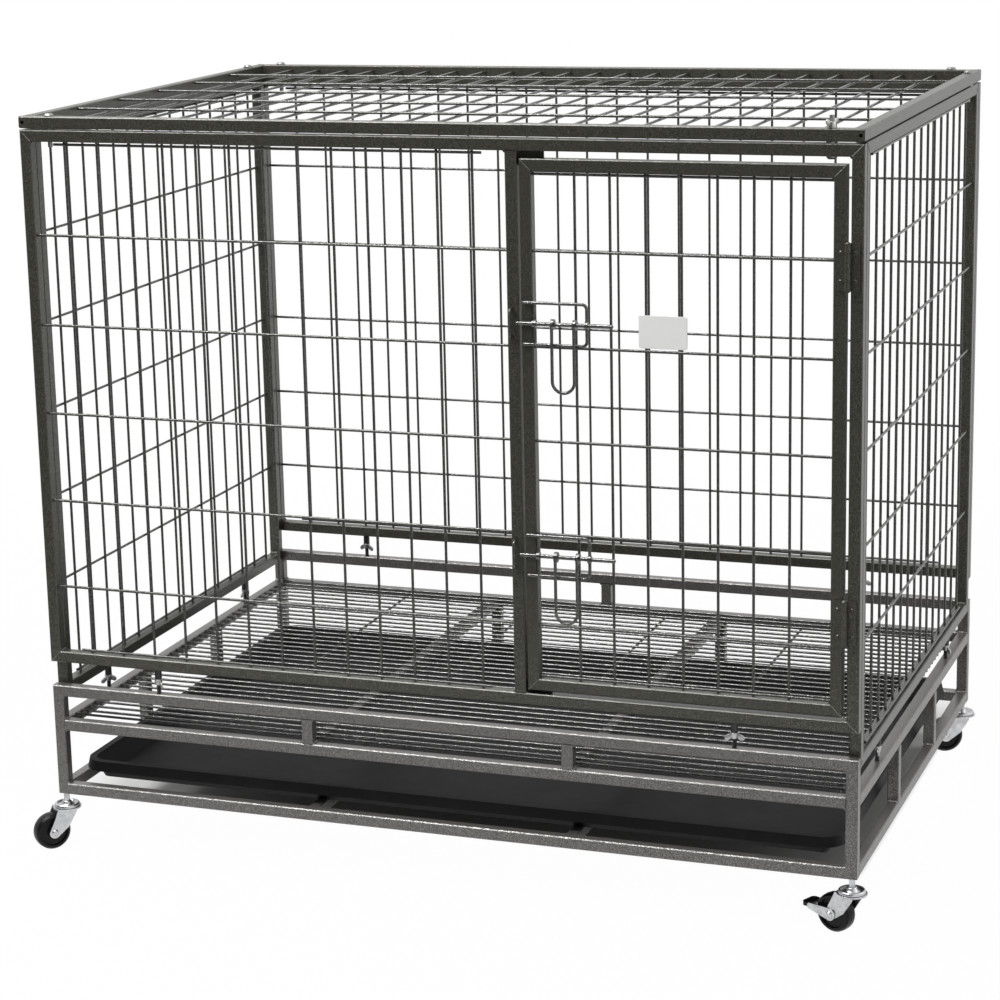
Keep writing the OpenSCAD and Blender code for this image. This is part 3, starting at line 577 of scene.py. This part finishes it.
for x in (low.x + stud_radius, high.x - stud_radius):
    for y in (-side_stud_y, side_stud_y):
        stud_tops.append((x, y, low.z + stud_length))
stud_places = [((x, y, top - stud_length / 2), (0, 0, 0)) for x, y, top in stud_tops]
studs = lay_copies(rod, "threaded_studs", stud_places)
bpy.ops.object.shade_smooth_by_angle(angle=math.radians(30))
blackened_steel = zinc_plate("blackened_steel", tone=(0.075, 0.075, 0.074), roughness=0.42)
studs.data.materials.append(blackened_steel)
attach(studs, "crate")
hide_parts("wall_studs")
wear(["wall_spacers"], blackened_steel)


# Wing nuts
# Forged nuts with two round ears, zinc-plated: one on each stud, screwed up under its sleeve with the
# ears hanging down, and one on top of the lid at the front right.
hub_radius = 0.0054
hub_height = 0.008
hub_taper = 0.78
ear_radius = 0.0034
ear_stretch = 1.55
ear_thick = 0.0022
ear_lean = 38
ear_reach = 0.0078
ear_height = 0.0068
sleeve_length = 0.0132
first_turn = -40
turn_step = 25
lid_turn = 70
bpy.ops.object.select_all(action="DESELECT")
bpy.ops.mesh.primitive_cylinder_add(vertices=28, radius=hub_radius, depth=hub_height,
                                    location=(0, 0, hub_height / 2))
nut = bpy.context.object
settle()
pick_face(nut, lambda face: -face.center.z)
bpy.ops.transform.resize(value=(hub_taper, hub_taper, 1))
bpy.ops.object.mode_set(mode="OBJECT")
ears = []
for side in (-1, 1):
    bpy.ops.mesh.primitive_cylinder_add(
        vertices=24, radius=ear_radius, depth=ear_thick, location=(side * ear_reach, 0, ear_height),
        rotation=(math.radians(90), math.radians(-side * ear_lean), 0))
    ear = bpy.context.object
    ear.scale = (ear_stretch, 1, 1)
    settle()
    ears.append(ear)
join_parts([nut, *ears])
soften = nut.modifiers.new("soften", "BEVEL")
soften.width = 0.0007
soften.segments = 3
soften.limit_method = "ANGLE"
soften.angle_limit = math.radians(50)
bpy.ops.object.modifier_apply(modifier="soften")
nut_places = []
for count, (x, y, top) in enumerate(stud_tops):
    nut_places.append(((x, y, top - tube / 2 - sleeve_length), (180, 0, first_turn + turn_step * count)))
low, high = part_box("lid_wing_nut")
nut_places.append((((low.x + high.x) / 2, (low.y + high.y) / 2, low.z), (0, 0, lid_turn)))
nuts = lay_copies(nut, "wing_nuts", nut_places)
bpy.ops.object.shade_smooth_by_angle(angle=math.radians(40))
nuts.data.materials.append(zinc_plate("nut_zinc", tone=(0.55, 0.55, 0.545), roughness=0.32))
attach(nuts, "crate")
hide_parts("wall_wing_nuts", "lid_wing_nut")


# Caster stems
# Each caster turns on a stem screwed into the base. A cup of pressed steel with a rolled rim and a
# groove for the balls is riveted to the stem above the fork, and a flange holds the fork from below.
stem_radius = 0.004
cup_radius = 0.017
cup_wall = 0.003
flange_radius = 0.006
flange_thick = 0.0016
fork_thick = 0.002
seat_gap = 0.0003
low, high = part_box("caster_stems")
cup_foot = low.z + flange_thick + fork_thick + 2 * seat_gap
# The steps inward and upward over the rim, down into the groove and up to the boss.
cup_steps = ((0.0009, 0.0010), (0.0012, 0.0004), (0.0010, -0.0004), (0.0012, -0.0016), (0.0016, -0.0008),
             (0.0020, 0.0002), (0.0016, 0.0012), (0.0012, 0.0024), (0.0006, 0.0016), (0.0009, 0.0004))
cup_top = cup_foot + cup_wall + sum(upward for inward, upward in cup_steps)
boss_radius = cup_radius - sum(inward for inward, upward in cup_steps)


def push_face(distance):
    """Extrudes the selected face upwards, or downwards where the distance is negative."""
    bpy.ops.mesh.extrude_region_move(TRANSFORM_OT_translate={"value": (0, 0, distance)})


bpy.ops.object.select_all(action="DESELECT")
bpy.ops.mesh.primitive_cylinder_add(vertices=40, radius=cup_radius, depth=cup_wall,
                                    location=(0, 0, cup_foot + cup_wall / 2))
stem = bpy.context.object
settle()
pick_face(stem, lambda face: -face.center.z)
for inward, upward in cup_steps:
    bpy.ops.mesh.inset(thickness=inward)
    bpy.ops.transform.translate(value=(0, 0, upward))
bpy.ops.mesh.inset(thickness=boss_radius - stem_radius)
push_face(high.z - cup_top)
bpy.ops.object.mode_set(mode="OBJECT")
pick_face(stem, lambda face: face.center.z)
bpy.ops.mesh.inset(thickness=cup_radius - stem_radius)
push_face(low.z + flange_thick - cup_foot)
push_face(0)
flare = flange_radius / stem_radius
bpy.ops.transform.resize(value=(flare, flare, 1))
push_face(-flange_thick)
bpy.ops.object.mode_set(mode="OBJECT")
stem_x, stem_y = high.x - cup_radius, high.y - cup_radius
stem_places = [((x, y, 0), (0, 0, 0)) for x in (-stem_x, stem_x) for y in (-stem_y, stem_y)]
stems = lay_copies(stem, "cupped_stems", stem_places)
bpy.ops.object.shade_smooth_by_angle(angle=math.radians(50))
stems.data.materials.append(bright_zinc)
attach(stems, "crate")
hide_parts("caster_stems")


# Wheels and pedals
# Solid wheels of black plastic run on the axles, with pale patches of floor dust scattered over them.
# Small pedals of the same plastic are moulded on the ends of the brake levers.
wheel_plastic = moulded_plastic("wheel_plastic", grain_size=0.0008, tone=(0.003, 0.003, 0.0032),
                                scuff_tone=(0.03, 0.029, 0.027), scuff_amount=0.4, roughness=0.32)
wear([corner + "_wheel" for corner in corners], wheel_plastic)
wear(["front_right_pedal", "back_left_pedal"], wheel_plastic)


# Floor and light
# A white studio floor and background; the floor is left in its own shadow under the crate, where it
# shows grey paper, a painted shade that deepens the shadow. The room is dim in front and on the left,
# and half dim on the right, so faces that look there mirror less light. One lamp hangs in front on the
# left and a weaker one stands on the right.
floor_radius = 12
ambient = 0.35


def mix_value(tree, mask, first, second):
    """A value that goes from the first to the second with a mask; each a number or an output."""
    new = tree.nodes.new("ShaderNodeMix")
    tree.links.new(mask, new.inputs["Factor"])
    feed(tree, first, new.inputs["A"])
    feed(tree, second, new.inputs["B"])
    return new.outputs["Result"]


def add_range(tree, value, start, end, first, last):
    """A value that goes evenly from first to last as another goes from start to end."""
    span = add_node(tree, "ShaderNodeMapRange", From_Min=start, From_Max=end, To_Min=first, To_Max=last)
    tree.links.new(value, span.inputs["Value"])
    return span.outputs["Result"]


def split_place(tree, coordinates):
    """The X, Y and Z outputs of a place or a direction."""
    where = tree.nodes.new("ShaderNodeTexCoord")
    split = tree.nodes.new("ShaderNodeSeparateXYZ")
    tree.links.new(where.outputs[coordinates], split.inputs["Vector"])
    return split.outputs


def add_area(tree, place, *borders):
    """A mask of an area, with a soft border for each (axis, where it is 0, where it is 1)."""
    mask = 1.0
    for axis, start, end in borders:
        mask = add_math(tree, "MULTIPLY", mask, add_range(tree, place[axis], start, end, 0.0, 1.0))
    return mask


def floor_paper():
    """A floor that glows white for the camera and mirrors the room; under the crate it shows grey paper in
    its own shadow, the grey a painted shade that deepens it.
    """
    material = bpy.data.materials.new("floor_paper")
    material.use_nodes = True
    tree = material.node_tree
    tree.nodes.clear()
    ray = tree.nodes.new("ShaderNodeLightPath").outputs
    seen = add_math(tree, "MAXIMUM", ray["Is Camera Ray"], ray["Is Transmission Ray"])
    seen = add_math(tree, "MAXIMUM", seen, ray["Is Glossy Ray"])
    place = split_place(tree, "Object")
    under = add_area(tree, place, ("X", -0.66, -0.58), ("X", 0.51, 0.49), ("Y", -0.185, -0.15),
                     ("Y", 0.66, 0.42))
    distance = tree.nodes.new("ShaderNodeVectorMath")
    distance.operation = "LENGTH"
    tree.links.new(tree.nodes.new("ShaderNodeTexCoord").outputs["Object"], distance.inputs[0])
    lit = add_range(tree, distance.outputs["Value"], start=1.2, end=2.4, first=0.985, last=1.0)
    glowing = add_math(tree, "MULTIPLY", lit, add_math(tree, "SUBTRACT", 1.0, under))
    in_front = add_area(tree, place, ("Y", -0.9, -1.7), ("X", 1.2, 0.4))
    on_left = add_area(tree, place, ("X", -0.7, -1.3), ("Y", 1.0, 0.4))
    on_right = add_area(tree, place, ("X", 0.9, 1.5), ("Y", 0.8, 0.2))
    half_dim = add_math(tree, "MULTIPLY", on_right, 0.6)
    dim = add_math(tree, "MAXIMUM", add_math(tree, "MAXIMUM", in_front, on_left), half_dim)
    mirrored = add_range(tree, dim, start=0.0, end=1.0, first=0.95, last=0.10)
    # The paper is grey, not white: painted shade, seen only under the crate, where it deepens the shadow.
    paper = add_node(tree, "ShaderNodeBsdfDiffuse", Color=(0.5, 0.5, 0.49, 1))
    glow = add_node(tree, "ShaderNodeEmission", Color=(1, 1, 1, 1))
    tree.links.new(mix_value(tree, ray["Is Glossy Ray"], 1.0, mirrored), glow.inputs["Strength"])
    blend = tree.nodes.new("ShaderNodeMixShader")
    tree.links.new(add_math(tree, "MULTIPLY", glowing, seen), blend.inputs["Fac"])
    tree.links.new(paper.outputs["BSDF"], blend.inputs[1])
    tree.links.new(glow.outputs["Emission"], blend.inputs[2])
    surface = tree.nodes.new("ShaderNodeOutputMaterial")
    tree.links.new(blend.outputs["Shader"], surface.inputs["Surface"])
    return material


def studio_world():
    """A white background that lights softly and is dim in one corner of the mirrored room."""
    world = bpy.data.worlds.new("studio")
    world.use_nodes = True
    tree = world.node_tree
    ray = tree.nodes.new("ShaderNodeLightPath").outputs
    dim_corner = add_area(tree, split_place(tree, "Generated"), ("Y", 0.2, -0.4), ("X", 0.6, 0.1))
    mirrored = add_range(tree, dim_corner, start=0.0, end=1.0, first=1.0, last=0.10)
    strength = mix_value(tree, ray["Is Glossy Ray"], ambient, mirrored)
    seen = add_math(tree, "MAXIMUM", ray["Is Camera Ray"], ray["Is Transmission Ray"])
    background = tree.nodes["Background"].inputs
    background["Color"].default_value = (1, 1, 1, 1)
    tree.links.new(mix_value(tree, seen, strength, 1.0), background["Strength"])
    return world


def soft_lamp(name, place, aim, size, power):
    """A square lamp at a place, turned towards a point."""
    bpy.ops.object.light_add(type="AREA", location=place)
    lamp = bpy.context.object
    lamp.name = name
    lamp.data.size = size
    lamp.data.energy = power
    run = [goal - start for goal, start in zip(aim, place)]
    tilt = math.atan2(math.hypot(run[0], run[1]), -run[2])
    lamp.rotation_euler = (tilt, 0, math.atan2(-run[0], run[1]))


bpy.ops.object.select_all(action="DESELECT")
bpy.ops.mesh.primitive_circle_add(vertices=64, radius=floor_radius, fill_type="NGON")
floor = bpy.context.object
floor.name = "floor"
floor.data.materials.append(floor_paper())
bpy.context.scene.world = studio_world()
soft_lamp("left_lamp", place=(-1.2, -1.2, 3.4), aim=(0, -0.1, 0.4), size=2.2, power=170)
soft_lamp("right_lamp", place=(3.4, 0.4, 1.8), aim=(0, 0, 0.6), size=1.6, power=15)


# Camera
# It stands in front and a little to the right of the crate, above its lid, with a long lens and a
# slight sideways shift.
bpy.ops.object.camera_add(location=(1.2284, -3.5292, 1.3444),
                          rotation=[math.radians(angle) for angle in (76.264, 1.433, 20.657)])
camera = bpy.context.object
camera.data.lens = 100.756
camera.data.shift_x = 0.06
camera.data.clip_end = 100
bpy.context.scene.camera = camera
bpy.context.scene.view_settings.view_transform = "Standard"
